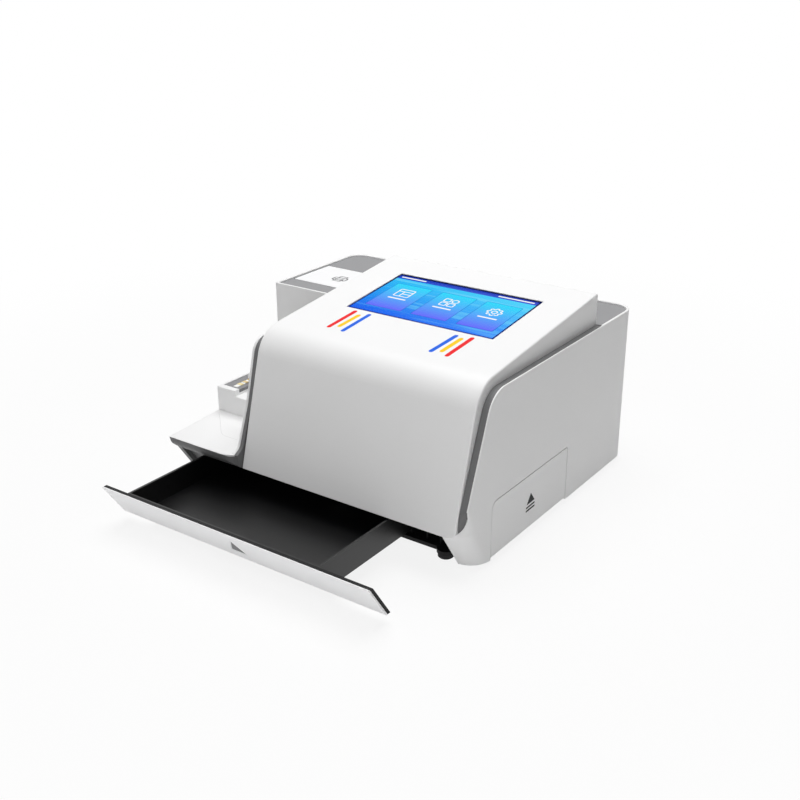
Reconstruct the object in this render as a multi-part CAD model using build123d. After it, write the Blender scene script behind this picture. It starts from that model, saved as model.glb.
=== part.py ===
from build123d import *
import math
import os

# Bench-top urine strip analyzer.  All lengths in millimetres.
# Working frame: X to the right, Y to the back, Z up; x = 0 is the hood's left side, y = 0 its lower front edge,
# z = 0 the lower edge of the white shell.  SHIFT takes it to the bottom centre of the whole, drawer out.

# ---------------------------------------------------------------- driving dimensions
HOOD_W = 229.4        # hood, left to right
HOOD_Y1 = 238.9       # back of the hood
Z_CREASE = 37.5       # lower edge of the hood, upper edge of the drawer recess
LEAN_F = 15.73        # lean of the hood's front, degrees from upright
TOP_Z0 = 156.02       # height of the hood's top plane at y = 0
TOP_A = 6.45          # rise of the hood's top plane, degrees
BEND_R = 31.0         # bend between front and top
HOOD_T = 3.0

X_R = 237.5           # right side of the shell
X_TL = -99.6          # left side of the printer tower
X_L = -82.0           # left side of the platform and riser
Y_T = 168.1           # front of the tower
Y_B = 305.0           # back of the shell
RIM_Z = 153.7         # top edge of the shell
WALL = 2.5
CORNER_R = 17.0       # upright corners at the back
TOE_X = 218.1         # right edge of the drawer opening
TOE_R = 21.0          # rounded front right toe
TOE_TOP_R = 3.2       # what is left of that rounding at the knee
UNDER = 33.7          # lean of the drawer recess, degrees from upright
KNEE_Y, KNEE_Z = 7.4, 62.0           # the shell's right side leans back from here
SIDE_SLOPE = 0.385                   # depth over height of that lean
SIDE_BEND_R = 25.0
GROOVE_R = 16.0       # rounded foot of the groove between hood and rim, at the hood's lower right corner
RIM_T = 1.3           # rim of the right side where the groove's frame rests in it

LIP_Y, LIP_Z = -10.0, 51.3           # front edge of the strip platform
PLATFORM_RISE = 0.0545               # height over depth of the platform
SKIN = 1.6                           # white skin of the platform
JAMB_SKIN = 1.6                      # grey strip in front of the low left side
UP_X0, UP_X1 = -6.1, -3.9            # white wall beside the hood
FRAME_X1 = -0.45                     # right face of the grey frame in that gap
UP_TOP = 152.6

SCREEN_W, SCREEN_D = 154.0, 86.0     # picture area of a 7 inch panel
SCREEN_X0, SCREEN_Y0 = 38.7, 113.3   # its front left corner, in plan

DRAWER_OPEN = 98.5    # how far out the drawer stands in the photograph
DRAWER_X0, DRAWER_X1 = -76.0, 217.6
DRAWER_Z0, DRAWER_Z1 = 4.2, 37.0
FACE_OUT = 0.1        # the drawer's face stands this far in front of the recess line
FACE_T = 1.7          # white face
BACKING = (1.75, 5.3)                # black plate behind it, depths from the recess line
TRAY_X0, TRAY_X1 = -51.0, 164.2
TRAY_Z0, TRAY_Z1 = 11.0, 35.6
TRAY_LEN = 172.0
TRAY_WALL = 2.2
TRAY_FRONT = 5.35     # the tray starts this far behind the recess line

DOOR_Y0, DOOR_Y1, DOOR_Z0, DOOR_Z1 = 46.0, 178.0, 2.2, 53.6
DOOR_T = 3.4
DOOR_GAP = 1.0
DOOR_FRONT_R, DOOR_BACK_R = 6.5, 3.0
PIN_X, PIN_Z, PIN_R = X_R - DOOR_T / 2, DOOR_Z1 - 8.0, 1.0

LID_X0, LID_X1, LID_Y0, LID_Y1 = -94.0, -13.4, 191.8, 250.3
LID_T = 3.0
LID_Z1 = RIM_Z - 0.7
HINGE_Y, HINGE_Z = LID_Y1 - LID_T / 2, LID_Z1 - LID_T / 2
FOOT_H, FOOT_R = 4.8, 7.0
STUD = 3.6            # how far the data socket's studs stand out at the back

INLET, SWITCH, USB, SERIAL = (196.0, 28.0), (160.0, 28.0), (20.0, 26.0), (70.0, 26.0)   # x, z on the back

tanU, tanF, tanT = (math.tan(math.radians(a)) for a in (UNDER, LEAN_F, TOP_A))
cosU, cosF, cosT = (math.cos(math.radians(a)) for a in (UNDER, LEAN_F, TOP_A))
X_MID = (X_TL + X_R) / 2
Y_FRONT = (Z_CREASE - DRAWER_Z1) * tanU - FACE_OUT - DRAWER_OPEN
SHIFT = (-X_MID, -(Y_FRONT + Y_B + STUD) / 2, FOOT_H)
parts = {}


# ---------------------------------------------------------------- small helpers
def box(x0, x1, y0, y1, z0, z1):
    """Upright block between two corners."""
    return Pos((x0 + x1) / 2, (y0 + y1) / 2, (z0 + z1) / 2) * Box(x1 - x0, y1 - y0, z1 - z0)


def outline(points, place):
    """Closed face of straight runs, with an arc at each corner (a, b, r) that has a radius."""
    starts, ends, edges = [], [], []
    for i, point in enumerate(points):
        here, before, after = (Vector(*points[k % len(points)][:2]) for k in (i, i - 1, i + 1))
        start, end = here, here
        if len(point) > 2:
            back, on = (before - here).normalized(), (after - here).normalized()
            half = math.acos(back.dot(on)) / 2
            start, end = (here + way * (point[2] / math.tan(half)) for way in (back, on))
            middle = here + (back + on).normalized() * (point[2] / math.sin(half) - point[2])
            edges.append(ThreePointArc(*(place(p.X, p.Y) for p in (start, middle, end))))
        starts.append(start)
        ends.append(end)
    for end, start in zip(ends, starts[1:] + starts[:1]):
        if (start - end).length > 1e-6:
            edges.append(Line(place(end.X, end.Y), place(start.X, start.Y)))
    return make_face(edges)


def side_prism(points, x0, x1):
    """Prism along X from a closed outline of (y, z) or (y, z, corner radius)."""
    return extrude(outline(points, lambda y, z: Vector(x0, y, z)), amount=x1 - x0, dir=(1, 0, 0))


def front_prism(points, y0, y1):
    """Prism along Y from a closed outline of (x, z) or (x, z, corner radius)."""
    return extrude(outline(points, lambda x, z: Vector(x, y0, z)), amount=y1 - y0, dir=(0, 1, 0))


def plan_prism(points, z0, z1):
    """Prism along Z from a closed outline of (x, y) or (x, y, corner radius)."""
    return extrude(outline(points, lambda x, y: Vector(x, y, z0)), amount=z1 - z0, dir=(0, 0, 1))


def rod(p0, p1, r):
    """Round bar between two points."""
    a, b = Vector(*p0), Vector(*p1)
    return extrude(Plane(origin=a, z_dir=b - a) * Circle(r), amount=(b - a).length)


def uprights(solid, low, high):
    """Upright edges of a solid whose depth lies between two values."""
    return [e for e in solid.edges().filter_by(Axis.Z) if low < e.center().Y < high]


def recess_y(z):
    """Front of the drawer recess and of the toe, at height z."""
    return (Z_CREASE - z) * tanU


def hood_y(z):
    """Front of the hood at height z."""
    return (z - Z_CREASE) * tanF


def top_z(y):
    """Top of the hood at depth y."""
    return TOP_Z0 + y * tanT


def platform_z(y):
    """Height of the strip platform at depth y: it rises a little to the back."""
    return LIP_Z + (y - LIP_Y) * PLATFORM_RISE


def biggest(solid):
    """The largest solid of a result."""
    return max(solid.solids(), key=lambda s: s.volume)


# ---------------------------------------------------------------- base shell
def side_outline(inset, z_top=RIM_Z):
    """Outline (y, z) of the shell's right side, moved in: toe, knee, leaning front, bend, top, back."""
    k = inset * 1.07
    lean = KNEE_Y + SIDE_SLOPE * (z_top - KNEE_Z)
    low = -5.0 if inset else 0.0
    return [(recess_y(low) + inset * 1.2, low), (inset * 1.2, Z_CREASE), (KNEE_Y + k, KNEE_Z),
            (lean + k, z_top, SIDE_BEND_R - inset), (Y_B - inset, z_top), (Y_B - inset, low)]


def toe_cutter(inset):
    """What the round toe leaves out of the square corner: a leaning cylinder below the crease, fading above."""
    out = 30.0

    def corner(z, y_face, r):
        x, y, r = X_R - inset, y_face + inset, max(r - inset, 0.6)
        face = [(x - r, y), (x - r, y - out), (x + out, y - out), (x + out, y + r), (x, y + r)]
        ring = [Vector(a, b, z) for a, b in face]
        middle = Vector(x - r + r * math.sin(math.pi / 4), y + r - r * math.cos(math.pi / 4), z)
        return make_face([Polyline(ring), ThreePointArc(ring[4], middle, ring[0])])
    crease = corner(Z_CREASE, 0.0, TOE_R)
    low = loft([corner(-6.0, recess_y(-6.0), TOE_R), crease], ruled=True)
    return low, loft([crease, corner(KNEE_Z, KNEE_Y, TOE_TOP_R)], ruled=True)


def groove_mouth(grow):
    """Room above the toe for hood and groove: from the crease it curves up to the rim of the right side."""
    x, z = X_R - WALL + grow, Z_CREASE - min(grow, 0.15)
    return front_prism([(TOE_X - 5, z), (x, z, GROOVE_R + grow), (x, 200), (TOE_X - 5, 200)], -40.0, Y_B - WALL)


def rim_band(depth, x1):
    """Band of a given depth behind the right side's leaning front and top, up to x1."""
    band = side_prism(side_outline(0), X_R - WALL - 0.3, x1)
    band -= side_prism(side_outline(depth, RIM_Z - depth), X_R - 9, X_R)
    return band & box(220, X_R, -40, HOOD_Y1 - 1.7, 30, 160)


def right_side():
    """Right side wall with the hollow toe in front of the flap."""
    right = side_prism(side_outline(0), TOE_X, X_R)
    inner = side_prism(side_outline(WALL, RIM_Z + 20), TOE_X + WALL, X_R - WALL)
    for tool in toe_cutter(0):
        right -= tool
    for tool in toe_cutter(WALL):
        inner -= tool
    right -= inner
    right -= groove_mouth(0.15)                                         # room for hood and groove above the toe
    right -= box(TOE_X - 5, TOE_X + WALL + 1, 50, Y_B - WALL, -5, 200)
    return biggest(right)


def base_shell():
    """White tub: right side with toe, back wall, printer tower and low left side, open below and above."""
    front_of_wall = biggest(right_side() & box(TOE_X - 1, X_R + 1, -40, Y_T + 30.0, -1, RIM_Z + 1))
    # back wall and tower, one box with round upright back corners
    outer = box(X_TL, X_R, Y_T, Y_B, 0, RIM_Z)
    outer = fillet(uprights(outer, Y_B - 1, Y_B + 1), CORNER_R)
    outer = fillet([e for e in uprights(outer, Y_T - 1, Y_T + 1) if e.center().X < 0], 1.2)
    hollow = box(X_TL + WALL, X_R - WALL, Y_T + WALL, Y_B - WALL, -5, RIM_Z + 5)
    outer -= fillet(uprights(hollow, Y_B - WALL - 1, Y_B), CORNER_R - WALL)
    outer -= box(-2.0, X_R + 1, Y_T - 1, Y_T + 30, -5, RIM_Z + 5)      # only the tower keeps its front wall
    outer -= box(X_L + WALL, 0.0, Y_T - 1, Y_T + WALL + 1, -5, 42.6)   # and that wall stays above the drawer
    # low left side under the platform, and the wall that closes the step to the tower
    under = Z_CREASE - 0.5
    front = JAMB_SKIN + 0.1
    left = side_prism([(recess_y(0) + front, 0), (recess_y(under) + front, under), (Y_T + 1, under), (Y_T + 1, 0)],
                      X_L, X_L + WALL)
    left += box(X_L, -2.0, Y_T, Y_T + WALL, 42.6, RIM_Z)
    shell = outer + left + front_of_wall
    # the groove's frame rests in a rebate of the right rim
    shell -= rim_band(4.3, X_R - RIM_T) & groove_mouth(WALL - RIM_T)
    # opening for the flap in the right side, and finger gap below it
    shell -= flap_outline(DOOR_GAP, X_R - 6, X_R + 5)
    shell -= box(X_R - 6, X_R + 5, DOOR_Y0 - DOOR_GAP, DOOR_Y1 + DOOR_GAP, -5, DOOR_Z0 + 8)
    # bosses behind the wall for the ends of the flap's pin
    for y0, y1 in ((DOOR_Y0 - 6.0, DOOR_Y0 - DOOR_GAP), (DOOR_Y1 + DOOR_GAP, DOOR_Y1 + 6.0)):
        shell += box(X_R - 5.0, X_R - WALL + 0.2, y0, y1, PIN_Z - 3.0, PIN_Z + 3.0)
    shell -= rod((PIN_X, DOOR_Y0 - 4.5, PIN_Z), (PIN_X, DOOR_Y1 + 4.5, PIN_Z), PIN_R + 0.03)
    # rear openings
    for (x, z), half_w, half_h in ((INLET, 14.1, 10.1), (SWITCH, 6.6, 9.6), (USB, 8.2, 8.2), (SERIAL, 15.6, 6.4)):
        shell -= box(x - half_w, x + half_w, Y_B - 6, Y_B + 5, z - half_h, z + half_h)
    for i in range(9):                                                   # cooling slots
        x = 40 + i * 8
        shell -= box(x, x + 3.2, Y_B - 6, Y_B + 5, 70, 110)
    return shell


def flap_outline(grow, x0, x1):
    """Flap or its opening: a rectangle with a large upper front and a small upper back corner."""
    y0, y1, z0, z1 = DOOR_Y0 - grow, DOOR_Y1 + grow, DOOR_Z0 - (8 if grow else 0), DOOR_Z1 + grow
    return side_prism([(y0, z0), (y0, z1, DOOR_FRONT_R + grow), (y1, z1, DOOR_BACK_R + grow), (y1, z0)], x0, x1)


def side_door():
    """Flap in the right side; its pin lies below its top edge, which swings inwards as the flap lifts."""
    door = flap_outline(0, X_R - DOOR_T, X_R)
    door = fillet(door.faces().sort_by(Axis.X)[-1].edges(), 0.4)
    for y in (70.0, 112.0, 154.0):                                       # stiffening ribs inside
        door += box(X_R - DOOR_T - 2.0, X_R - DOOR_T + 0.1, y - 0.8, y + 0.8, DOOR_Z0 + 3, PIN_Z - 5)
    return door - rod((PIN_X, DOOR_Y0 - 5, PIN_Z), (PIN_X, DOOR_Y1 + 5, PIN_Z), PIN_R + 0.05)


# ---------------------------------------------------------------- base plate, feet, chassis
FEET = {"foot_front_right": (198.5, 36.5), "foot_front_left": (-44.0, 36.5),
        "foot_back_right": (210.0, 278.0), "foot_back_left": (-72.0, 278.0)}
PLATE_T = 3.5
CHASSIS_Z0, CHASSIS_Z1 = 38.6, 41.2
CHUTE = (48.0, 110.0, 62.0, 172.0)


def base_plate():
    """Black bottom plate inside the shell, with ribs across the drawer bay and tabs over the front feet."""
    p = box(X_L + WALL + 0.3, X_R - WALL - 4.2, 34.2, 300.0, 0, PLATE_T)
    p += box(X_TL + WALL + 0.5, X_L + WALL + 1, Y_T + WALL + 0.5, 300.0, 0, PLATE_T)
    p = fillet(uprights(p, 299, 301), CORNER_R - 2.0)
    p -= box(TOE_X - 1.5, X_R, 30, 52.0, -1, 5)
    for name in ("foot_front_right", "foot_front_left"):
        x, y = FEET[name]
        p += Pos(x, y, PLATE_T / 2) * Cylinder(FOOT_R + 1.0, PLATE_T)
    for x in (176.0, 190.0, 204.0):
        p += box(x, x + 1.6, 40.0, 150.0, PLATE_T - 0.1, 9.5)
    return p


def foot(x, y):
    """Round rubber foot under the base plate."""
    f = Pos(x, y, -FOOT_H / 2) * Cylinder(FOOT_R, FOOT_H)
    return chamfer(f.edges().sort_by(Axis.Z)[0], 0.8)


def chassis_plate():
    """Inner floor above the drawer bay, with the chute that drops used strips into the drawer."""
    left = -78.9
    c = box(left, X_R - WALL - 0.6, 8.0, Y_B - WALL - 1.0, CHASSIS_Z0, CHASSIS_Z1)
    c = fillet(uprights(c, 200, 400), 14)
    c -= box(*CHUTE, 30, 50)
    c -= box(204.4, X_R, 58, 172, 30, 50) + box(231.2, X_R, 40, 184, 30, 50)   # room for the side bay and flap
    c -= box(225.6, X_R, 0, 60, 30, 50) + box(-0.6, 3.6, 0, 32, 30, 50)        # room for the hood's sides
    return c + box(left, -70.0, 57.0, 165.0, 30.0, CHASSIS_Z0 + 0.1)           # flange down the left side


# ---------------------------------------------------------------- hood
def hood_outline(inset, z_low):
    """Outline (y, z) of the hood's front and top, moved inwards; the last point is the top's back corner."""
    z = (TOP_Z0 - inset / cosT + tanT * (inset / cosF - Z_CREASE * tanF)) / (1 - tanF * tanT)
    back = HOOD_Y1 - inset
    return [(hood_y(z_low) + inset / cosF, z_low), (hood_y(z) + inset / cosF, z, BEND_R - inset),
            (back, top_z(back) - inset / cosT)]


def hood():
    """White bent cover: leaning front, bend, rising top, two sides and a short back."""
    low = 143.0
    *front, back_top = hood_outline(0, Z_CREASE)
    sides = [(HOOD_Y1, low), (70.0, low), (hood_y(60) + 26.0, 60.0), (26.0, Z_CREASE)]
    body = side_prism(front + [back_top + (2.2,)] + sides, 0, HOOD_W)
    # round the two long edges where front and top meet the sides
    rims = [e for x in (0, 1) for e in body.faces().sort_by(Axis.X)[-x].edges()
            if e.center().Z > Z_CREASE + 20 and e.center().Z > low - 60 and e.center().Y < HOOD_Y1 - 1
            and e.center().Z > hood_y(60) + 60]
    rims = [e for e in rims if e.center().Z > low + 1 or e.center().Y < hood_y(e.center().Z) + 1]
    body = fillet(rims, 1.4)
    inner = hood_outline(HOOD_T, Z_CREASE - 5)
    inside = inner + [(HOOD_Y1 - HOOD_T, low - 30), (30, 0), (inner[0][0], 0)]
    body -= side_prism(inside, HOOD_T, HOOD_W - HOOD_T)
    # window for the touchscreen, cut square to the top plane
    edge = 1.6
    body -= top_block(SCREEN_X0 - edge, SCREEN_X0 + SCREEN_W + edge,
                      SCREEN_Y0 - edge, SCREEN_Y0 + SCREEN_D * cosT + edge, -10, 10)
    # lower right corner, rounded where the toe curves up to the groove
    corner = box(X_R - WALL - GROOVE_R, HOOD_W + 5, -10, 40, Z_CREASE - 5, Z_CREASE + GROOVE_R)
    body -= corner - groove_mouth(0.0)
    # slot in the left side where strips pass in
    return body - box(-1, HOOD_T + 1, 62.0, 176.0, 40.0, 92.0)


def top_block(x0, x1, y0, y1, d0, d1):
    """Block set square to the hood's top plane; y0, y1 in plan, d0..d1 below and above that plane."""
    y_mid = (y0 + y1) / 2
    block = Box(x1 - x0, (y1 - y0) / cosT, d1 - d0)
    return Pos((x0 + x1) / 2, y_mid, top_z(y_mid)) * Rot(TOP_A, 0, 0) * Pos(0, 0, (d0 + d1) / 2) * block


def screen_glass():
    """Front glass of the touchscreen, just below the hood's surface."""
    edge = 1.35
    return top_block(SCREEN_X0 - edge, SCREEN_X0 + SCREEN_W + edge,
                     SCREEN_Y0 - edge, SCREEN_Y0 + SCREEN_D * cosT + edge, -1.9, -0.25)


def lcd_module():
    """Liquid-crystal panel under the glass."""
    return top_block(SCREEN_X0 - 6, SCREEN_X0 + SCREEN_W + 6,
                     SCREEN_Y0 - 7, SCREEN_Y0 + SCREEN_D + 6.0, -9.0, -3.2)


def display_board():
    """Driver board behind the panel, with its connectors."""
    b = top_block(50, 180, 118, 192, -14.6, -13.0)
    for x0, x1, y0, y1 in ((80, 112, 122, 128), (60, 66, 160, 166), (164, 170, 160, 166)):
        b += top_block(x0, x1, y0, y1, -13.1, -9.0)
    return b


def groove_frame():
    """Grey frame in the groove between the hood's right side and the shell, just below the shell's rim."""
    x0, x1, deep = HOOD_W + 0.45, X_R - RIM_T - 0.15, 0.8
    z_top, thick = RIM_Z - deep, 3.2
    y_end = HOOD_Y1 - 2.0
    lean = KNEE_Y + deep + SIDE_SLOPE * (z_top - KNEE_Z)
    low = Z_CREASE + 0.3
    frame = side_prism([(deep, low), (KNEE_Y + deep, KNEE_Z), (lean, z_top, SIDE_BEND_R), (y_end, z_top),
                        (y_end, z_top - thick), (lean + thick - 1.0, z_top - thick, SIDE_BEND_R - thick),
                        (KNEE_Y + deep + thick, KNEE_Z), (deep + thick + 8.0, low)], x0, x1)
    for tool in toe_cutter(deep):
        frame -= tool
    over_rim = box(X_R - WALL - 0.15, X_R, -40, Y_B, 0, 200)
    rest = frame & over_rim & rim_band(4.1, X_R - RIM_T) & groove_mouth(WALL - RIM_T - 0.15)
    return biggest(((frame - over_rim) & groove_mouth(0.0)) + rest)


# ---------------------------------------------------------------- platform, stage, strip
NOSE = (-7.8, 44.2, 10.0)            # corner of the lip's underside, with its rounding
UP_FRONT = [(2.5, 55.7, 10.0), (17.0, 94.5, 60.0), (32.3, UP_TOP, 16.0)]    # front of the upright wall
UP_BACK = 165.8
CORNER_X = -20.0                     # from here the lip curves back towards the upright
CORNER_Y = -5.2                      # depth at which it meets the upright
SLOT = (65.0, 164.0, 73.6, 88.0)     # way into the hood through the upright


def lip_curve_cutter():
    """What lies in front of the lip where it curves back, in plan, towards the upright."""
    run, drop = UP_X1 - CORNER_X, CORNER_Y - LIP_Y
    r = (run ** 2 + drop ** 2) / (2 * drop)
    middle = Vector(CORNER_X + run / 2, LIP_Y + r - math.sqrt(r ** 2 - (run / 2) ** 2))
    start, end = Vector(CORNER_X, LIP_Y), Vector(UP_X1, CORNER_Y)
    far = LIP_Y - 6.0
    edge = Polyline([end, Vector(1.0, CORNER_Y + 1.6), Vector(1.0, far), Vector(CORNER_X, far), start])
    return Pos(0, 0, Z_CREASE + 1.0) * extrude(make_face([edge, ThreePointArc(start, middle, end)]), amount=30)


def platform_cover():
    """White skin of the strip platform and the thin wall beside the hood, with the left skirt."""
    z_back = platform_z(UP_BACK)
    cover = side_prism([(LIP_Y, LIP_Z), (UP_BACK, z_back), (UP_BACK, z_back - SKIN),
                        (LIP_Y + 2.4, LIP_Z - SKIN + 0.1), (LIP_Y + 0.2, LIP_Z - 0.35)], X_L, UP_X1)
    wall = [(CORNER_Y, LIP_Z + 0.1)] + UP_FRONT + [(UP_BACK, UP_TOP), (UP_BACK, z_back - SKIN),
                                                   (LIP_Y + 8.0, platform_z(LIP_Y + 8.0) - SKIN)]
    cover += side_prism(wall, UP_X0, UP_X1)
    cover -= lip_curve_cutter()
    # soft inner corner between platform and wall
    inner = [e for e in cover.edges() if abs(e.center().X - UP_X0) < 0.01 and e.length > 100
             and abs(e.center().Z - platform_z(e.center().Y)) < 0.3]
    cover = fillet(inner, 2.5)
    skirt = [(LIP_Y + 6.0, platform_z(LIP_Y + 6.0) - 1.0), (UP_BACK, z_back - 1.0),
             (UP_BACK, Z_CREASE), (0.5, Z_CREASE)]
    cover += side_prism(skirt, X_L, X_L + WALL) - nose_block(0.1)
    return cover - box(UP_X0 - 2, UP_X1 + 1, *SLOT)


def nose_block(grow):
    """Grey under-face of the platform's front, from below the lip down to the crease."""
    y0 = LIP_Y + 0.45
    return side_prism([(y0, LIP_Z - 0.6), NOSE, (0.0, Z_CREASE), (7.6 + grow, Z_CREASE), (7.6 + grow, 40.4 + grow),
                       (3.0 + grow, 40.4 + grow), (-5.4 + grow, 46.4, 8.0), (y0 + 3.4 + grow, LIP_Z - 2.0),
                       (LIP_Y + 2.4 + grow, LIP_Z - SKIN - 0.05)], X_L, FRAME_X1)


def jamb():
    """Left jamb of the drawer recess: a strip in front at the outside, the rest set back for the drawer's face."""
    seat, depth, low, wall_x = 5.9, 8.5, recess_y(0), X_L + WALL + 0.15
    whole = side_prism([(low, 0), (0, Z_CREASE), (depth - 0.9, Z_CREASE), (low + depth, 0)], X_L, TRAY_X0 - 5.0)
    whole -= side_prism([(-20, -5), (-20, Z_CREASE + 5), (seat, Z_CREASE), (recess_y(-5.0) + seat, -5)],
                        DRAWER_X0 - 0.6, TRAY_X0)
    return whole - side_prism([(recess_y(-5) + JAMB_SKIN, -5), (JAMB_SKIN, Z_CREASE), (50, Z_CREASE), (50, -5)],
                              X_L - 1, wall_x)


def platform_frame():
    """Grey frame under the platform's skin: it shows below the lip and in the gap beside the hood."""
    gap = 0.05
    y0 = LIP_Y + 0.45
    nose = nose_block(0.0)
    z_under = [platform_z(y) - SKIN - gap for y in (y0 + 2.0, UP_BACK)]
    floor_ = side_prism([(y0 + 2.6, z_under[0]), (UP_BACK - 0.2, z_under[1]), (UP_BACK - 0.2, z_under[1] - 1.3),
                         (y0 + 3.4, z_under[0] - 1.3)], X_L + WALL + 0.1, FRAME_X1)
    # plate between the white wall and the hood; its front edge lies just behind the wall's
    back = 0.4
    front = [(y + back, z, r) for y, z, r in UP_FRONT[:2]] + [(UP_FRONT[2][0] + back, UP_TOP - back, 16.0)]
    rear = UP_BACK - 0.2
    plate = [(CORNER_Y + back, LIP_Z - 0.2)] + front + [(rear, UP_TOP - back), (rear, z_under[1] - 1.3),
                                                        (y0 + 8.0, LIP_Z - 4.0), (NOSE[0] + 4.0, NOSE[1] + 1.0)]
    block = side_prism([(y0, LIP_Z - 0.6), NOSE, (0.0, Z_CREASE), (7.6, Z_CREASE), (7.6, z_under[0] - 0.1),
                        (LIP_Y + 2.4, LIP_Z - SKIN - 0.05)], CORNER_X - 3.0, FRAME_X1)
    frame = nose + jamb() + block + floor_ + side_prism(plate, UP_X1 + gap, FRAME_X1) - lip_curve_cutter()
    frame -= box(UP_X0 - 2, 1, *SLOT)
    return biggest(frame - box(-74.6, -71.6, -6.0, 6.0, 38.4, 40.2))     # catch hole near the crease


STAGE_Y0, STAGE_Z1 = 57.4, 79.8
NOTCH_X, NOTCH_Z = -59.0, 74.0
BED_Z = NOTCH_Z + 2.2


def strip_stage():
    """White riser block with a notch at its right, and a shallow bed for the grey tray."""
    y_left, y_right, z_low = 167.6, 164.0, 50.0
    s = box(X_L, NOTCH_X, STAGE_Y0, y_left, z_low, STAGE_Z1)
    s += box(NOTCH_X - 1, UP_X0 - 0.05, STAGE_Y0, y_right, z_low, NOTCH_Z)
    s = fillet([e for e in s.edges().filter_by(Axis.X) if e.center().Y < STAGE_Y0 + 1 and e.center().Z > 60], 0.8)
    lift = 0.1
    s -= side_prism([(STAGE_Y0 - 1, z_low - 1), (STAGE_Y0 - 1, platform_z(STAGE_Y0 - 1) + lift),
                     (y_left + 1, platform_z(y_left + 1) + lift), (y_left + 1, z_low - 1)], X_L - 1, 0)
    # foot of the riser stays clear of the soft corner between platform and wall
    s -= side_prism([(STAGE_Y0 - 1, z_low), (STAGE_Y0 - 1, platform_z(STAGE_Y0 - 1) + 2.7),
                     (y_left, platform_z(y_left) + 2.7), (y_left, z_low)], UP_X0 - 2.7, 0)
    s -= box(X_L + 2.4, NOTCH_X + 1, STAGE_Y0 + 6.2, 165.4, BED_Z, STAGE_Z1 + 1)
    return s + rail_seat(X_L, X_L + 2.4, STAGE_Z1 - 0.1)


def strip_tray():
    """Grey insert in the riser's bed, on which the strip lies."""
    return box(X_L + 2.5, NOTCH_X, STAGE_Y0 + 6.3, 165.3, BED_Z, STAGE_Z1 - 0.6)


STRIP_X0, STRIP_Y0, STRIP_W, STRIP_LEN = -69.6, 66.6, 5.0, 92.0
PAD_PITCH, PAD_LEN = 7.0, 4.6


def test_strip():
    """Test strip with ten raised reagent pads."""
    z0 = STAGE_Z1 - 0.55
    s = box(STRIP_X0, STRIP_X0 + STRIP_W, STRIP_Y0, STRIP_Y0 + STRIP_LEN, z0, z0 + 0.35)
    for i in range(10):
        y = STRIP_Y0 + 5.0 + i * PAD_PITCH
        s += box(STRIP_X0, STRIP_X0 + STRIP_W, y, y + PAD_LEN, z0 + 0.3, z0 + 0.75)
    return s


def transfer_cover():
    """Small white roof over the way into the hood, carried by the upright."""
    roof = [(-61.0, 85.6), (-61.0, 91.0, 2.4), (UP_X0, 91.0), (UP_X0, 88.4), (-57.0, 88.4)]
    return front_prism(roof, 79.0, 104.0)


def strip_bridge():
    """Grey runners that carry strips from the tray across the ledge to the hood."""
    x0, x1 = NOTCH_X + 0.2, 3.4
    b = box(x0, x1, 104.0, 107.0, 76.6, 79.1) + box(x0, x1, 150.0, 153.0, 76.6, 79.1)
    for x in (-50.0, -20.0):
        b += box(x, x + 3.0, 103.9, 153.1, NOTCH_Z + 0.1, 77.2)
    return b


RAIL_Y, RAIL_Z, RAIL_R = 160.8, 82.4, 1.5
RAIL_X0, RAIL_X1 = X_L + 0.6, 45.4


def strip_pusher():
    """Comb that moves a strip sideways into the reader, with a bored boss on its rail."""
    p = box(-78.3, -75.9, 112.0, 160.0, STAGE_Z1 - 0.2, STAGE_Z1 + 3.2)
    p += box(-79.2, -73.2, RAIL_Y - 2.8, RAIL_Y + 2.8, RAIL_Z - 2.4, RAIL_Z + 2.4)
    return p - rod((-82.0, RAIL_Y, RAIL_Z), (-70.0, RAIL_Y, RAIL_Z), RAIL_R + 0.05)


def rail_seat(x0, x1, z0):
    """Small post with a bore for one end of the pusher's rail."""
    post = box(x0, x1, RAIL_Y - 3.2, RAIL_Y + 3.2, z0, RAIL_Z + 2.4)
    return post - rod((RAIL_X0 - 0.1, RAIL_Y, RAIL_Z), (RAIL_X1 + 0.1, RAIL_Y, RAIL_Z), RAIL_R + 0.02)


# ---------------------------------------------------------------- printer
BAY_X0, BAY_X1, BAY_Y0, BAY_Y1, BAY_Z0 = -93.0, -14.4, 193.2, 248.8, 96.0
ROLL_Y, ROLL_Z, ROLL_R = 225.0, 121.6, 20.5
ROLL_X0, ROLL_X1 = -78.4, -21.4      # 57 mm wide paper
PLATEN_Y, PLATEN_Z, PLATEN_R = 202.5, 139.5, 4.2
GEAR_M, PLATEN_TEETH, DRIVE_TEETH = 0.5, 24, 16
GEAR_Y = PLATEN_Y
GEAR_Z = PLATEN_Z - GEAR_M * (PLATEN_TEETH + DRIVE_TEETH) / 2 - 0.12
DECK_Z1, DECK_T = RIM_Z - 1.0, 2.6


def rear_deck():
    """Grey deck inside the rim: around the printer lid and behind the hood."""
    edge = WALL + 0.25
    z0 = DECK_Z1 - DECK_T
    d = box(X_TL + edge, X_R - edge, Y_T + edge, Y_B - edge, z0, DECK_Z1)
    d = fillet(uprights(d, 290, 400), CORNER_R - WALL - 0.3)
    d -= box(-0.4, X_R, Y_T - 5, HOOD_Y1 + 0.4, 100, 200)
    d -= box(LID_X0 - 0.5, LID_X1 + 0.5, LID_Y0 - 0.5, LID_Y1 + 0.5, 100, 200)
    # bosses under the deck for the ends of the lid's pin
    for x0, x1 in ((LID_X0 - 2.6, LID_X0 - 0.5), (LID_X1 + 0.5, LID_X1 + 5.0)):
        d += box(x0, x1, HINGE_Y - 3.0, HINGE_Y + 3.0, z0 - 2.0, z0 + 0.1)
    return d - rod((LID_X0 - 2.2, HINGE_Y, HINGE_Z), (LID_X1 + 4.2, HINGE_Y, HINGE_Z), 0.83)


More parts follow.
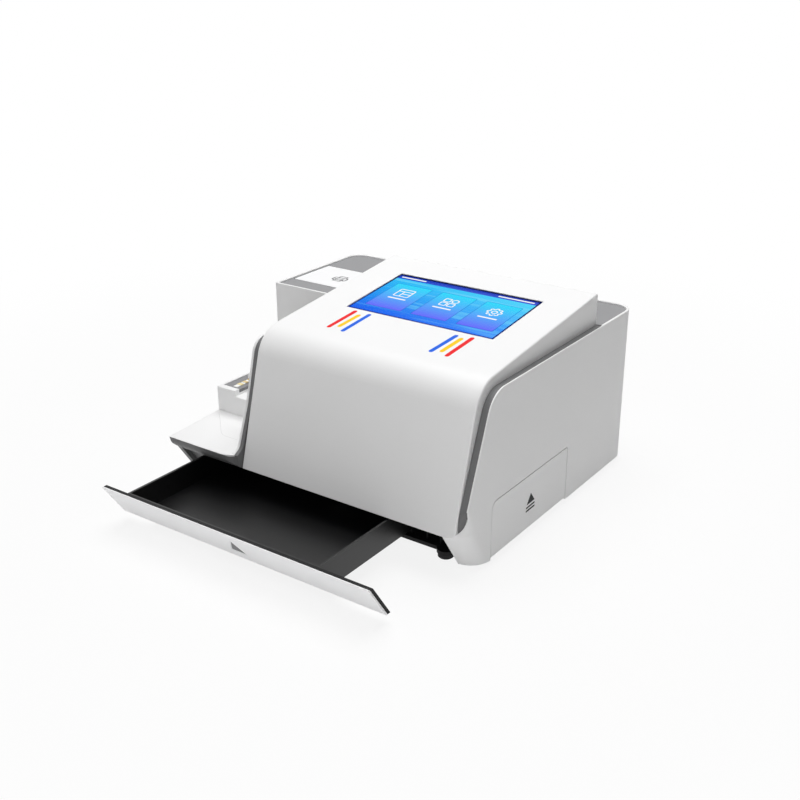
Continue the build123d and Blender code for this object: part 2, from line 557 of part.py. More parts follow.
def printer_lid():
    """White lid over the paper, hung on a pin in its round back edge."""
    low = LID_Z1 - LID_T
    lid = box(LID_X0, LID_X1, LID_Y0, HINGE_Y, low, LID_Z1)
    lid = fillet(uprights(lid, LID_Y0 - 1, LID_Y0 + 1), 1.5)
    lid += rod((LID_X0, HINGE_Y, HINGE_Z), (LID_X1, HINGE_Y, HINGE_Z), LID_T / 2)
    lid -= rod((LID_X0 - 1, HINGE_Y, HINGE_Z), (LID_X1 + 1, HINGE_Y, HINGE_Z), 0.86)
    for x in (-84.0, -24.0):                                             # stiffening ribs
        lid += box(x - 0.8, x + 0.8, LID_Y0 + 8, LID_Y1 - 10, low - 3.0, low + 0.5)
    return lid


def printer_bay():
    """Black paper well under the deck, open at the top."""
    x0, x1, y0, y1, z0 = BAY_X0, BAY_X1, BAY_Y0, BAY_Y1, BAY_Z0
    b = box(x0, x1, y0, y1, z0, RIM_Z - 9.9) - box(x0 + 2, x1 - 2, y0 + 2, y1 - 2, z0 + 2, RIM_Z)
    seat = 3.04
    for x in (x0 + 2, x1 - 6.0):                                          # posts with open seats for the spindle
        b += box(x, x + 4.0, ROLL_Y - 6, ROLL_Y + 6, z0 + 1, ROLL_Z + 1.0)
        b -= rod((x - 1, ROLL_Y, ROLL_Z), (x + 5, ROLL_Y, ROLL_Z), seat)
        b -= box(x - 0.5, x + 4.5, ROLL_Y - seat, ROLL_Y + seat, ROLL_Z, ROLL_Z + 20)
    for x in (x0 + 1, x1 - 3.6):                                          # bearing plates for the roller
        b += box(x, x + 2.6, 195.0, 208.0, 126.0, 143.8)
    b -= rod((x0 - 1, PLATEN_Y, PLATEN_Z), (x1 + 1, PLATEN_Y, PLATEN_Z), 1.54)
    return b - rod((x0 - 1, GEAR_Y, GEAR_Z), (x0 + 20, GEAR_Y, GEAR_Z), 1.0)


def gear(teeth, x0, x1, y, z, bore, turn):
    """Small spur gear along X with straight-sided teeth, backlash included."""
    pitch = GEAR_M * teeth / 2
    tip, root = pitch + GEAR_M * 0.9, pitch - GEAR_M * 1.2
    points = []
    for i in range(teeth):
        for r, half in ((root, 0.335), (pitch, 0.22), (tip, 0.10), (tip, -0.10), (pitch, -0.22), (root, -0.335)):
            a = turn + (i - half) * 2 * math.pi / teeth
            points.append((y + r * math.cos(a), z + r * math.sin(a)))
    return side_prism(points, x0, x1) - rod((x0 - 1, y, z), (x1 + 1, y, z), bore)


def platen_roller():
    """Rubber roller on its steel axle."""
    roller = rod((BAY_X0 + 4.4, PLATEN_Y, PLATEN_Z), (BAY_X1 - 4.4, PLATEN_Y, PLATEN_Z), PLATEN_R)
    return roller + rod((BAY_X0 - 3.6, PLATEN_Y, PLATEN_Z), (BAY_X1 - 0.4, PLATEN_Y, PLATEN_Z), 1.5)


def platen_gear():
    """Gear on the left end of the roller's axle."""
    return gear(PLATEN_TEETH, BAY_X0 - 3.2, BAY_X0 - 0.5, PLATEN_Y, PLATEN_Z, 1.5, 0.0)


def drive_gear():
    """Small gear with its shaft, in mesh with the roller's gear."""
    g = gear(DRIVE_TEETH, BAY_X0 - 3.2, BAY_X0 - 0.5, GEAR_Y, GEAR_Z, 0.9, math.pi / 2 + math.pi / DRIVE_TEETH)
    return g + rod((BAY_X0 - 3.4, GEAR_Y, GEAR_Z), (BAY_X0 + 5.4, GEAR_Y, GEAR_Z), 0.95)


def printer_motor():
    """Stepper motor inside the paper well's wall."""
    m = rod((BAY_X0 + 5.8, GEAR_Y, GEAR_Z), (BAY_X0 + 13.6, GEAR_Y, GEAR_Z), 5.6)
    m += rod((BAY_X0 + 3.7, GEAR_Y, GEAR_Z), (BAY_X0 + 5.9, GEAR_Y, GEAR_Z), 4.0)
    return m - rod((BAY_X0 + 3.0, GEAR_Y, GEAR_Z), (BAY_X0 + 5.6, GEAR_Y, GEAR_Z), 1.0)


def print_head():
    """Thermal head in front of the roller, on its heat sink."""
    head = box(BAY_X0 + 10.0, BAY_X1 - 10.0, PLATEN_Y - 7.2, PLATEN_Y - 5.0, 136.0, 143.0)
    return head + box(BAY_X0 + 12, BAY_X1 - 12, PLATEN_Y - 5.1, PLATEN_Y - 4.5, 137.0, 142.0)


def paper_roll():
    """Roll of thermal paper with its core hole."""
    roll = rod((ROLL_X0, ROLL_Y, ROLL_Z), (ROLL_X1, ROLL_Y, ROLL_Z), ROLL_R)
    return roll - rod((ROLL_X0 - 2, ROLL_Y, ROLL_Z), (ROLL_X1 + 2, ROLL_Y, ROLL_Z), 6.0)


def paper_spindle():
    """Spindle through the roll; its thin ends lie in the open seats."""
    s = rod((BAY_X0 + 2.4, ROLL_Y, ROLL_Z), (BAY_X1 - 2.4, ROLL_Y, ROLL_Z), 3.0)
    return s + rod((ROLL_X0 - 0.4, ROLL_Y, ROLL_Z), (ROLL_X1 + 0.4, ROLL_Y, ROLL_Z), 5.9)


# ---------------------------------------------------------------- drawer
MARK_X, MARK_V0, MARK_W, MARK_H = 71.8, 16.4, 17.6, 18.4      # sunk triangle; V0 is measured up the face


def panel_section(depth0, depth1, z0, z1):
    """Section of the leaning drawer front between two depths behind the recess line."""
    return [(recess_y(z0) + depth0, z0), (recess_y(z1) + depth0, z1),
            (recess_y(z1) + depth1, z1), (recess_y(z0) + depth1, z0)]


def moved_out(shape):
    """The drawer stands open."""
    return Pos(0, -DRAWER_OPEN, 0) * shape


def drawer_front():
    """White leaning front of the drawer, with one sunk triangle."""
    p = side_prism(panel_section(-FACE_OUT, FACE_T, DRAWER_Z0, DRAWER_Z1), DRAWER_X0, DRAWER_X1)
    p = fillet(p.edges().filter_by(Axis.X), 0.45)
    out = Vector(0, -cosU, -math.sin(math.radians(UNDER)))
    up = Vector(0, -math.sin(math.radians(UNDER)), cosU)
    base = Vector(MARK_X, recess_y(0) - FACE_OUT, 0) + up * MARK_V0
    half = Vector(MARK_W / 2, 0, 0)
    mark = make_face(Polyline([base - half, base + half, base + up * MARK_H], close=True))
    return moved_out(p - extrude(mark, amount=0.6, dir=-out))


def drawer_backing():
    """Black plate behind the white front."""
    return moved_out(side_prism(panel_section(*BACKING, DRAWER_Z0, DRAWER_Z1), DRAWER_X0, DRAWER_X1))


def drawer_tray():
    """Black waste tray behind the front, open at the top."""
    y_back, w, over = 10.0 + TRAY_LEN, TRAY_WALL, 9.0
    t = side_prism([(recess_y(TRAY_Z0) + TRAY_FRONT, TRAY_Z0), (recess_y(TRAY_Z1) + TRAY_FRONT, TRAY_Z1),
                    (y_back, TRAY_Z1), (y_back, TRAY_Z0)], TRAY_X0, TRAY_X1)
    t -= side_prism([(recess_y(TRAY_Z0 + w) + TRAY_FRONT + w, TRAY_Z0 + w),
                     (recess_y(TRAY_Z1 + over) + TRAY_FRONT + w, TRAY_Z1 + over),
                     (y_back - w, TRAY_Z1 + over), (y_back - w, TRAY_Z0 + w)], TRAY_X0 + w, TRAY_X1 - w)
    for x in (TRAY_X0 + 6, TRAY_X1 - 10):                                # runners under the tray
        t += box(x, x + 4, 60.0, y_back, 8.0, TRAY_Z0 + 0.2)
    return moved_out(t)


def drawer_rail(x):
    """Rail on the base plate: a floor channel for the tray's runner."""
    y0, y1 = 40.0, 200.0
    return box(x - 3.0, x + 7.0, y0, y1, 3.6, 10.4) - box(x - 0.35, x + 4.35, y0 - 1, y1 + 1, 5.2, 11)


# ---------------------------------------------------------------- reader
ROD_X, ROD_Z, ROD_R = (14.5, 33.5), 100.0, 2.5
PULLEY_X, PULLEY_R = 62.0, 6.0
PULLEYS = (66.0, 184.0)
AXLE_R = 2.0


def read_table():
    """Table under the reading head on which the strip stops."""
    t = box(3.8, 46.0, 62.0, 170.0, 76.4, 79.1)
    for y in (64.0, 166.0):
        t += box(8.0, 44.0, y, y + 2.0, 41.3, 76.5)
    return t + rail_seat(43.4, 46.0, 79.0)


def optical_head():
    """Reading head with its lens window, on two rods, with an arm to the belt."""
    h = box(10.0, 38.0, 96.0, 118.0, 86.0, 108.0)
    h -= box(14.0, 30.0, 101.0, 113.0, 85.0, 89.0)
    for x in ROD_X:
        h -= rod((x, 90, ROD_Z), (x, 125, ROD_Z), ROD_R + 0.05)
    return h + box(37.9, PULLEY_X - PULLEY_R - 1.2, 102.0, 112.0, 98.0, 102.0)


def rod_block(front):
    """Block on the chassis that holds both rods, with the plate for the motor or the idler's axle."""
    y0, y1 = (43.0, 48.0) if front else (192.0, 197.0)
    b = box(6.0, 50.0, y0, y1, 41.3, 107.6)
    for x in ROD_X:
        b -= rod((x, y0 + (1.4 if front else -1), ROD_Z), (x, y1 + (1 if front else -1.4), ROD_Z), ROD_R + 0.02)
    if front:
        b += box(44.0, 78.0, y0, 82.0, 105.2, 107.6)
        b -= rod((PULLEY_X, PULLEYS[0], 100), (PULLEY_X, PULLEYS[0], 110), 3.0)
    else:
        b += box(44.0, 70.0, 176.0, y1, 105.2, 107.6)
        b += rod((PULLEY_X, PULLEYS[1], 94.5), (PULLEY_X, PULLEYS[1], 105.3), AXLE_R)
    return b


def pulley(y):
    """Belt pulley with two flanges, on an upright axle."""
    p = Pos(PULLEY_X, y, ROD_Z) * Cylinder(PULLEY_R, 7.0)
    for dz in (-3.9, 3.9):
        p += Pos(PULLEY_X, y, ROD_Z + dz) * Cylinder(PULLEY_R + 1.2, 1.0)
    return p - Pos(PULLEY_X, y, ROD_Z) * Cylinder(AXLE_R + 0.05, 20)


def scan_belt():
    """Flat toothed belt round both pulleys."""
    y0, y1 = PULLEYS

    def oval(r, h):
        ends = Pos(PULLEY_X, y0, ROD_Z) * Cylinder(r, h) + Pos(PULLEY_X, y1, ROD_Z) * Cylinder(r, h)
        return ends + Pos(PULLEY_X, (y0 + y1) / 2, ROD_Z) * Box(2 * r, y1 - y0, h)
    return oval(PULLEY_R + 1.0, 5.0) - oval(PULLEY_R + 0.15, 7.0)


def scan_motor():
    """Stepper motor on the front block's plate, its shaft down through the pulley."""
    half = 14.0
    m = box(PULLEY_X - half, PULLEY_X + half, PULLEYS[0] - half, PULLEYS[0] + half, 107.7, 130.0)
    return m + rod((PULLEY_X, PULLEYS[0], 94.5), (PULLEY_X, PULLEYS[0], 107.8), AXLE_R)


# ---------------------------------------------------------------- electronics and power
def main_board():
    """Main board on the chassis, right of the reader."""
    b = box(152.0, 202.0, 60.0, 200.0, 46.0, 47.6)
    for x0, x1, y0, y1, z1 in ((162, 182, 90, 110, 50.5), (162, 176, 130, 144, 49.8), (186, 196, 150, 190, 56.0)):
        b += box(x0, x1, y0, y1, 47.5, z1)
    for x, y in ((155.5, 63.5), (198.5, 63.5), (155.5, 196.5), (198.5, 196.5)):
        b += rod((x, y, 41.3), (x, y, 46.1), 2.4)
    return b


def power_supply():
    """Closed mains power supply at the back right."""
    return box(120.0, 214.0, 216.0, 290.0, 46.5, 84.0) + box(124.0, 210.0, 220.0, 286.0, 41.3, 46.6)


def battery_cradle():
    """Open-sided bay behind the side flap."""
    x0, x1, y0, y1, z0, z1, w = 205.2, 227.2, 62.0, 168.0, 12.0, 47.0, 1.8
    c = box(x0, x1, y0, y1, z0, z1) - box(x0 + w, x1 + 5, y0 + w, y1 - w, z0 + w, z1 - w)
    c -= box(x0 - 1, x0 + w + 1, y0 + 20, y0 + 30, z0 + 10, z0 + 20)      # hole for the wires
    for y in (80.0, 150.0):
        c += box(x0 + 4, x1 - 6, y, y + 4, PLATE_T, z0 + 0.1)
    return c


def inlet_socket():
    """Mains inlet for a cord with a three-pin connector."""
    x, z = INLET
    s = box(x - 13.9, x + 13.9, Y_B - 22, Y_B + 1.0, z - 9.9, z + 9.9)
    s += box(x - 17, x + 17, Y_B + 0.05, Y_B + 1.6, z - 12, z + 12)
    s -= box(x - 12.0, x + 12.0, Y_B - 15, Y_B + 5, z - 8.0, z + 8.0)
    for dx in (-7.0, 0.0, 7.0):
        s += box(x + dx - 1.0, x + dx + 1.0, Y_B - 15.5, Y_B - 4.0, z - 2.4, z + 2.4)
    return s


ROCKER_Y = Y_B - 3.0                 # axis of the switch's rocker


def switch_frame():
    """Frame of the power switch."""
    x, z = SWITCH
    s = box(x - 6.4, x + 6.4, Y_B - 16, Y_B + 1.0, z - 9.4, z + 9.4)
    s += box(x - 7.6, x + 7.6, Y_B + 0.05, Y_B + 1.4, z - 10.6, z + 10.6)
    s -= box(x - 4.9, x + 4.9, Y_B - 12, Y_B + 5, z - 8.2, z + 8.2)
    return s - rod((x - 7, ROCKER_Y, z), (x + 7, ROCKER_Y, z), 1.0)


def switch_rocker():
    """Rocker of the power switch, on its own short pins."""
    x, z = SWITCH
    key = [(1.6, -7.0), (-0.4, 0.0), (0.2, 7.0), (-2.6, 7.0), (-6.6, 1.5), (-6.6, -1.5), (-2.0, -7.0)]
    k = side_prism([(Y_B + dy, z + dz) for dy, dz in key], x - 4.5, x + 4.5)
    return k + rod((x - 6.2, ROCKER_Y, z), (x + 6.2, ROCKER_Y, z), 0.95)


def usb_ports():
    """Two stacked sockets for data and keyboards."""
    x, z = USB
    s = box(x - 8.0, x + 8.0, Y_B - 18, Y_B + 0.4, z - 8.0, z + 8.0)
    for dz in (-3.9, 3.9):
        s -= box(x - 6.4, x + 6.4, Y_B - 14, Y_B + 2, z + dz - 2.9, z + dz + 2.9)
        s += box(x - 5.4, x + 5.4, Y_B - 14.5, Y_B - 2.0, z + dz - 0.4, z + dz + 1.2)
    return s


def serial_port():
    """Nine-pin data socket with its two studs."""
    x, z = SERIAL
    s = box(x - 15.4, x + 15.4, Y_B - 10, Y_B + 0.8, z - 6.2, z + 6.2)
    mouth = [(x - 8.6, z + 3.8), (x + 8.6, z + 3.8), (x + 7.6, z - 3.8), (x - 7.6, z - 3.8)]
    s -= front_prism(mouth, Y_B - 5.0, Y_B + 2)
    pitch = 2.76
    for row, count in ((1.4, 5), (-1.4, 4)):
        for i in range(count):
            at = x + (i - (count - 1) / 2) * pitch
            s += rod((at, Y_B - 5.2, z + row), (at, Y_B - 0.4, z + row), 0.5)
    for dx in (-12.5, 12.5):
        s += rod((x + dx, Y_B + 0.7, z), (x + dx, Y_B + STUD, z), 2.6)
    return s


# ---------------------------------------------------------------- all pieces
for name, (foot_x, foot_y) in FEET.items():
    parts[name] = foot(foot_x, foot_y)
for make in (base_shell, base_plate, chassis_plate, hood, groove_frame, platform_cover, platform_frame, strip_stage,
             strip_tray, test_strip, transfer_cover, strip_bridge, strip_pusher, rear_deck, printer_lid, printer_bay,
             print_head, platen_roller, platen_gear, drive_gear, printer_motor, paper_roll, paper_spindle,
             screen_glass, lcd_module, display_board, main_board, power_supply, battery_cradle, inlet_socket,
             switch_frame, switch_rocker, usb_ports, serial_port, optical_head, read_table, scan_motor, scan_belt,
             drawer_front, drawer_backing, drawer_tray, side_door):
    parts[make.__name__] = make()
parts["pusher_rail"] = rod((RAIL_X0, RAIL_Y, RAIL_Z), (RAIL_X1, RAIL_Y, RAIL_Z), RAIL_R)
parts["lid_hinge_pin"] = rod((LID_X0 - 2.1, HINGE_Y, HINGE_Z), (LID_X1 + 4.1, HINGE_Y, HINGE_Z), 0.8)
parts["door_hinge_pin"] = rod((PIN_X, DOOR_Y0 - 4.4, PIN_Z), (PIN_X, DOOR_Y1 + 4.4, PIN_Z), PIN_R)
parts["battery_pack"] = box(207.4, 222.0, 66.0, 164.0, 13.9, 42.6)
parts["rod_block_front"] = rod_block(True)
parts["rod_block_back"] = rod_block(False)
for side, x in zip(("left", "right"), ROD_X):
    parts[f"guide_rod_{side}"] = rod((x, 44.5, ROD_Z), (x, 195.5, ROD_Z), ROD_R)
for name, y in zip(("drive_pulley", "idler_pulley"), PULLEYS):
    parts[name] = pulley(y)
for side, x in (("left", TRAY_X0 + 6), ("right", TRAY_X1 - 10)):
    parts[f"drawer_rail_{side}"] = drawer_rail(x)

os.makedirs("parts", exist_ok=True)
for name, shape in parts.items():
    solids = list(shape.solids())
    whole = solids[0] if len(solids) == 1 else Compound(children=solids)
    export_step(Location(SHIFT) * whole, f"parts/{name}.step")
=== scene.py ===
import math
import bpy
import numpy as np
from mathutils import Matrix, Vector


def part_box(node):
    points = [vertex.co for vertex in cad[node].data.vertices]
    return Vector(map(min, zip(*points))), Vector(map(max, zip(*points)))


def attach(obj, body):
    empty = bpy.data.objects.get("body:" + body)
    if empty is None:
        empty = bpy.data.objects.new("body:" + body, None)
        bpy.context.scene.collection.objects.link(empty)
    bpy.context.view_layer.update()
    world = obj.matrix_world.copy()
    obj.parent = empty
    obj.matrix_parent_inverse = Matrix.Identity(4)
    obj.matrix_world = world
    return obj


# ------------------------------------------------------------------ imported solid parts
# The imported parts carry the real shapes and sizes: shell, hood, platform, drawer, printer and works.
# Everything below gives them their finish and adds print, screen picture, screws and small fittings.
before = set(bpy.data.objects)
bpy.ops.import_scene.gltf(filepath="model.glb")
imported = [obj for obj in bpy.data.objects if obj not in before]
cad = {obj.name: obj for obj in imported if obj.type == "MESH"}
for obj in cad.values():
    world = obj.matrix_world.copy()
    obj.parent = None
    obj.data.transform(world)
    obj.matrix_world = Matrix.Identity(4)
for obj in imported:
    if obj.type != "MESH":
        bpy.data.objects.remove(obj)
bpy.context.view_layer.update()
mm = 0.001


# ------------------------------------------------------------------ camera and studio
# A 50.7 mm lens stands in front, to the right of and above the bench top, turned a fifth of a degree.
# The instrument stands on a seamless white sweep under one broad overhead light and a soft front light.
eye = Vector((582.28, -771.54, 498.53)) * mm
turn, dip, roll = math.radians(35.44), math.radians(22.94), math.radians(-0.23)
ahead = Vector((-math.sin(turn) * math.cos(dip), math.cos(turn) * math.cos(dip), -math.sin(dip)))
level = Vector((math.cos(turn), math.sin(turn), 0.0))
rise = level.cross(ahead)
right = level * math.cos(roll) + rise * math.sin(roll)
above = rise * math.cos(roll) - level * math.sin(roll)

lens = bpy.data.cameras.new("photo_camera")
lens.sensor_width = 36.0
lens.lens = 50.67
lens.clip_start, lens.clip_end = 0.05, 50.0
camera = bpy.data.objects.new("photo_camera", lens)
camera.matrix_world = Matrix((
    (right.x, above.x, -ahead.x, eye.x),
    (right.y, above.y, -ahead.y, eye.y),
    (right.z, above.z, -ahead.z, eye.z),
    (0, 0, 0, 1)))
bpy.context.scene.collection.objects.link(camera)
bpy.context.scene.camera = camera
bpy.context.scene.view_settings.view_transform = "Standard"


def linear(colour):
    """sRGB hex to linear light: c / 12.92 up to 0.04045, and ((c + 0.055) / 1.055) to the power 2.4 above."""
    c = np.array([int(colour[i:i + 2], 16) / 255 for i in (1, 3, 5)])
    c = np.where(c <= 0.04045, c / 12.92, ((c + 0.055) / 1.055) ** 2.4)
    return (float(c[0]), float(c[1]), float(c[2]), 1.0)


def add(tree, kind, settings=None, links=None):
    """Adds one shader node; settings go to its sockets, by name or number, or else to the node itself."""
    made = tree.nodes.new(kind)
    for key, value in (settings or {}).items():
        if isinstance(key, int) or key in made.inputs.keys():
            made.inputs[key].default_value = value
        else:
            setattr(made, key, value)
    for key, source in (links or {}).items():
        tree.links.new(source, made.inputs[key])
    return made


def lamp(name, size, power, place, target, colour="#FFFFFF"):
    """Square area lamp of a given width, facing a target."""
    light = bpy.data.lights.new(name, "AREA")
    light.shape, light.size, light.energy = "SQUARE", size, power
    light.color = linear(colour)[:3]
    holder = bpy.data.objects.new(name, light)
    place, target = Vector(place), Vector(target)
    holder.location = place
    holder.rotation_euler = (target - place).to_track_quat("-Z", "Y").to_euler()
    bpy.context.scene.collection.objects.link(holder)
    return holder


lamp("overhead_softbox", 1.5, 29.0, (-0.1, 0.25, 1.7), (0.0, 0.02, 0.1))
lamp("front_right_softbox", 1.2, 10.5, (0.8, -1.75, 0.65), (0.05, -0.05, 0.08))

studio = bpy.data.worlds.new("studio")
studio.use_nodes = True
bpy.context.scene.world = studio
air = studio.node_tree
air.nodes.clear()
path = add(air, "ShaderNodeLightPath")
direct = add(air, "ShaderNodeMath", {"operation": "MAXIMUM"},
             {0: path.outputs["Is Camera Ray"], 1: path.outputs["Is Glossy Ray"]})
seen = add(air, "ShaderNodeMath", {"operation": "MAXIMUM"},
           {0: direct.outputs[0], 1: path.outputs["Is Transmission Ray"]})
plain = add(air, "ShaderNodeBackground", {"Color": (1, 1, 1, 1), "Strength": 0.08})
white = add(air, "ShaderNodeBackground", {"Color": (1, 1, 1, 1), "Strength": 1.0})
mixed = add(air, "ShaderNodeMixShader", links={0: seen.outputs[0], 1: plain.outputs[0], 2: white.outputs[0]})
add(air, "ShaderNodeOutputWorld", links={"Surface": mixed.outputs[0]})


def sheet_mesh(name, grid, closed=(False, False)):
    """Mesh from a grid of points, one quad between each four neighbours; closed joins the last row or column to
    the first. Its UV map holds the two grid parameters, from 0 to 1."""
    rows, cols = grid.shape[:2]
    i, j = np.meshgrid(np.arange(rows - (not closed[0])), np.arange(cols - (not closed[1])), indexing="ij")
    i2, j2 = (i + 1) % rows, (j + 1) % cols
    quads = np.stack([i * cols + j, i2 * cols + j, i2 * cols + j2, i * cols + j2], -1).reshape(-1, 4)
    mesh = bpy.data.meshes.new(name)
    mesh.from_pydata(grid.reshape(-1, 3).tolist(), [], quads.tolist())
    across, along = np.linspace(0, 1, rows)[:, None], np.linspace(0, 1, cols)[None, :]
    uv = np.stack(np.broadcast_arrays(across, along), -1).reshape(-1, 2)
    layer = mesh.uv_layers.new(name="grid")
    layer.data.foreach_set("uv", uv[quads.reshape(-1)].reshape(-1))
    mesh.polygons.foreach_set("use_smooth", np.ones(len(quads), bool))
    made = bpy.data.objects.new(name, mesh)
    bpy.context.scene.collection.objects.link(made)
    return made


# Seamless sweep: a floor that turns up far behind, of white paper.  The eye and reflections see it lit up to plain
# white, more so further out; the shadow near the object stays.
flat_reach, flat_rows, bend_radius = 6, 24, 2.0
bend = np.linspace(0.05, 1, 12) * math.pi / 2
floor_y = np.concatenate([np.linspace(-flat_reach, flat_reach, flat_rows), flat_reach + np.sin(bend) * bend_radius])
floor_z = np.concatenate([np.zeros(flat_rows), bend_radius - np.cos(bend) * bend_radius])
floor_x = np.linspace(-7, 7, 15)
floor_grid = np.broadcast_arrays(floor_x[None, :], floor_y[:, None], floor_z[:, None])
sweep = sheet_mesh("studio_sweep", np.stack(floor_grid, -1))
paper = bpy.data.materials.new("studio_paper")
paper.use_nodes = True
tree = paper.node_tree
tree.nodes.clear()
path = add(tree, "ShaderNodeLightPath")
place = add(tree, "ShaderNodeTexCoord")
reach = add(tree, "ShaderNodeVectorMath", {"operation": "LENGTH"}, {0: place.outputs["Object"]})
shadow_near, shadow_far, glow_near = 0.25, 0.9, 0.86
share = add(tree, "ShaderNodeMapRange", {"interpolation_type": "SMOOTHSTEP", "From Min": shadow_near,
                                         "From Max": shadow_far, "To Min": glow_near, "To Max": 1.0},
            {"Value": reach.outputs["Value"]})
matt = add(tree, "ShaderNodeBsdfDiffuse", {"Color": linear("#F6F6F6")})
glow = add(tree, "ShaderNodeEmission", {"Color": (1, 1, 1, 1), "Strength": 1.0})
to_eye = add(tree, "ShaderNodeMixShader", links={0: share.outputs[0], 1: matt.outputs[0], 2: glow.outputs[0]})
mirrored = add(tree, "ShaderNodeMath", {"operation": "MAXIMUM"},
               {0: path.outputs["Is Glossy Ray"], 1: path.outputs["Is Transmission Ray"]})
dim = add(tree, "ShaderNodeBsdfDiffuse", {"Color": linear("#F0F0F0")})
to_gloss = add(tree, "ShaderNodeMixShader", links={0: mirrored.outputs[0], 1: dim.outputs[0], 2: glow.outputs[0]})
both = add(tree, "ShaderNodeMixShader",
           links={0: path.outputs["Is Camera Ray"], 1: to_gloss.outputs[0], 2: to_eye.outputs[0]})
add(tree, "ShaderNodeOutputMaterial", links={"Surface": both.outputs[0]})
sweep.data.materials.append(paper)


# ------------------------------------------------------------------ white housing
# Hood, shell, platform, riser and side flap are injection-moulded ABS in signal white.
# The tools were spark-eroded to a fine matt grain, which scatters light evenly and hides finger marks.
def moulded(name, colour, roughness, grain, relief, cloud=0.012, shine=0.5, edge=0.0):
    """Moulded plastic: a fine grain of the given size and height in millimetres as bump and as small changes in
    roughness, and a slow cloud of a few centimetres in its colour.  Shine is its specular level, and edge the radius
    in millimetres to which the mould's edges are rounded to the eye."""
    material = bpy.data.materials.new(name)
    material.use_nodes = True
    tree = material.node_tree
    surface = tree.nodes["Principled BSDF"]
    place = add(tree, "ShaderNodeTexCoord")
    pits = add(tree, "ShaderNodeTexNoise", {"Scale": 1 / (grain * mm), "Detail": 2.0, "Roughness": 0.6},
               {"Vector": place.outputs["Object"]})
    drift = add(tree, "ShaderNodeTexNoise", {"Scale": 1 / (45 * mm), "Detail": 1.0},
                {"Vector": place.outputs["Object"]})
    tone = np.array(linear(colour))
    colours = add(tree, "ShaderNodeMix", {"data_type": "RGBA"}, {"Factor": drift.outputs["Fac"]})
    colours.inputs[6].default_value = tuple(tone * (1 - cloud))
    colours.inputs[7].default_value = tuple(np.minimum(tone * (1 + cloud), 1.0))
    tree.links.new(colours.outputs[2], surface.inputs["Base Color"])
    span = add(tree, "ShaderNodeMapRange", {"To Min": roughness * 0.88, "To Max": min(roughness * 1.12, 1.0)},
               {"Value": pits.outputs["Fac"]})
    tree.links.new(span.outputs[0], surface.inputs["Roughness"])
    bump = add(tree, "ShaderNodeBump", {"Strength": 0.35, "Distance": relief * mm}, {"Height": pits.outputs["Fac"]})
    if edge:
        rounding = add(tree, "ShaderNodeBevel", {"samples": 6, "Radius": edge * mm})
        tree.links.new(rounding.outputs[0], bump.inputs["Normal"])
    tree.links.new(bump.outputs[0], surface.inputs["Normal"])
    surface.inputs["IOR"].default_value = 1.53
    surface.inputs["Specular IOR Level"].default_value = shine
    return material


def finish_with(material, *names):
    """Gives CAD nodes one material in every slot."""
    for name in names:
        slots = cad[name].data.materials
        if not slots:
            slots.append(material)
        for k in range(len(slots)):
            slots[k] = material


abs_white = moulded("abs_white_spark_eroded", "#F0F0F0", 0.45, 0.7, 0.010, edge=0.6)
finish_with(abs_white, "base_shell", "hood", "platform_cover", "strip_stage", "side_door")

# Drawer front and printer lid are the same ABS from polished tools, with a satin shine; their white is set a shade
# paler than the housing's, as painted light on the drawer's downward-leaning face.
abs_polished_lit_white = moulded("abs_white_polished_painted_light", "#F6F6F7", 0.30, 2.2, 0.0012, edge=0.5)
finish_with(abs_polished_lit_white, "drawer_front", "printer_lid", "transfer_cover")


# ------------------------------------------------------------------ grey trim and decks
# The frames beside the hood and under the platform, the deck round the lid and the strip tray are dyed grey ABS.
# The frames are darker than the deck: their dark grey is partly their own and partly painted shade of the groove and
# of the lip's underside; all have a plain matt grain.
abs_frame_grey_and_shade = moulded("abs_grey_frame_painted_shade", "#676768", 0.55, 0.8, 0.012, edge=0.4)
finish_with(abs_frame_grey_and_shade, "groove_frame", "platform_frame")
abs_deck = moulded("abs_grey_deck", "#8A8A8C", 0.5, 0.8, 0.012)
finish_with(abs_deck, "rear_deck")
abs_tray = moulded("abs_grey_strip_tray", "#7C7C7E", 0.45, 0.8, 0.012)
finish_with(abs_tray, "strip_tray", "strip_bridge", "strip_pusher", "read_table", "paper_spindle")


# ------------------------------------------------------------------ black base, tray and wells
# Base plate, rails and wells are black glass-filled ABS; the waste tray is high-gloss black polystyrene,
# so that it mirrors the white room in long soft streaks.  The feet are black rubber.
abs_black = moulded("abs_black_matt", "#0D0D0E", 0.55, 0.9, 0.015, shine=0.16)
finish_with(abs_black, "base_plate", "drawer_rail_left", "drawer_rail_right", "printer_bay", "battery_cradle",
            "drawer_backing", "inlet_socket", "switch_frame", "switch_rocker", "optical_head")
hips_gloss = moulded("hips_black_gloss", "#050506", 0.36, 1.6, 0.003, shine=0.42)
finish_with(hips_gloss, "drawer_tray")
rubber = moulded("nitrile_rubber_black", "#1E1E1F", 0.75, 0.8, 0.03, shine=0.25)
finish_with(rubber, "foot_back_left", "foot_back_right", "foot_front_left", "foot_front_right", "platen_roller",
            "scan_belt")


